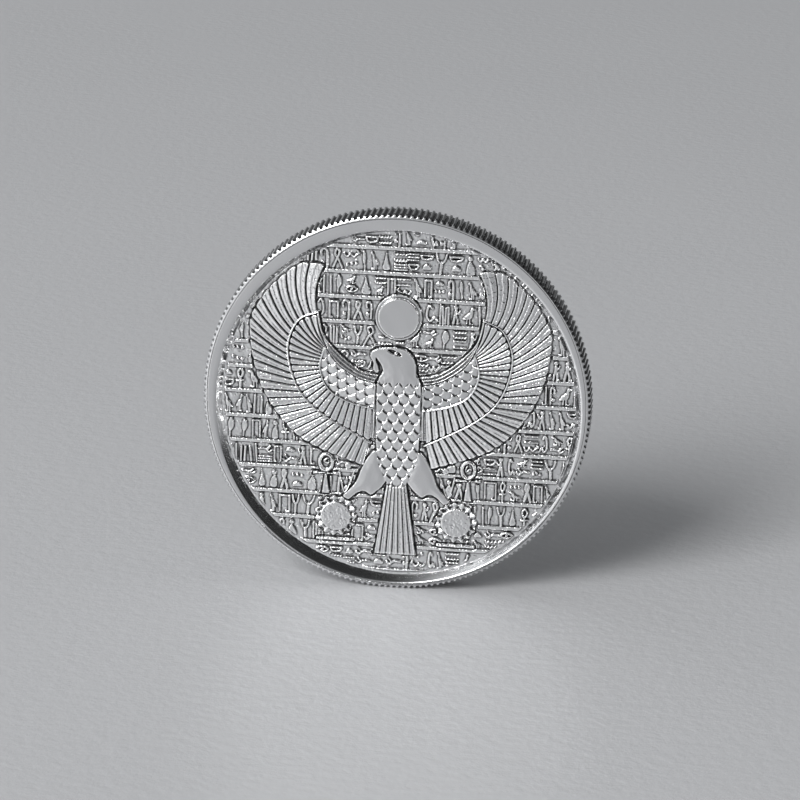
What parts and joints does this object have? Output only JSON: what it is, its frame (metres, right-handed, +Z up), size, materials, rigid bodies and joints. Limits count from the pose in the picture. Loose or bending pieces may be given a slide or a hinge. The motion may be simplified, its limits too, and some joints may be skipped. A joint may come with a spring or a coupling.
{
  "type": "challenge coin",
  "caption": "Large struck silver coin standing on its reeded edge, with a raised rim, a winged falcon on one side and a lotus on the other.",
  "frame": {"origin": "centre of the bounding box's bottom: under the coin's lowest reed, on the surface that it stands on", "axes": "+Z up across the coin's diameter, +Y along the coin's axis towards the reverse, so the obverse faces -Y"},
  "size_m": [0.039, 0.0036, 0.039],
  "materials": {
    "frosted_silver": "fine silver, frosted by the die, slightly darker in the recesses",
    "bright_silver": "fine silver, satin bright on flat raised faces and the rim",
    "edge_silver": "fine silver, satin, with darker grooves between the reeds"
  },
  "bodies": {
    "root": {"planchet": "frosted_silver", "reeded_edge": "edge_silver", "obverse_rim": "bright_silver", "obverse_field": "frosted_silver", "sun_disk": "bright_silver", "falcon_head": "bright_silver", "falcon_breast": "frosted_silver", "falcon_tail": "frosted_silver", "left_wing_leading_edge": "frosted_silver", "left_wing_coverts": "frosted_silver", "left_wing_inner_feathers": "frosted_silver", "left_wing_outer_feathers": "frosted_silver", "left_leg": "bright_silver", "left_shen_ring": "frosted_silver", "left_ankh": "frosted_silver", "right_wing_leading_edge": "frosted_silver", "right_wing_coverts": "frosted_silver", "right_wing_inner_feathers": "frosted_silver", "right_wing_outer_feathers": "frosted_silver", "right_leg": "bright_silver", "right_shen_ring": "frosted_silver", "right_ankh": "frosted_silver", "reverse_rim": "bright_silver", "reverse_field": "frosted_silver", "reverse_lotus": "frosted_silver", "reverse_sun_disk": "bright_silver"}
  },
  "joints": []
}
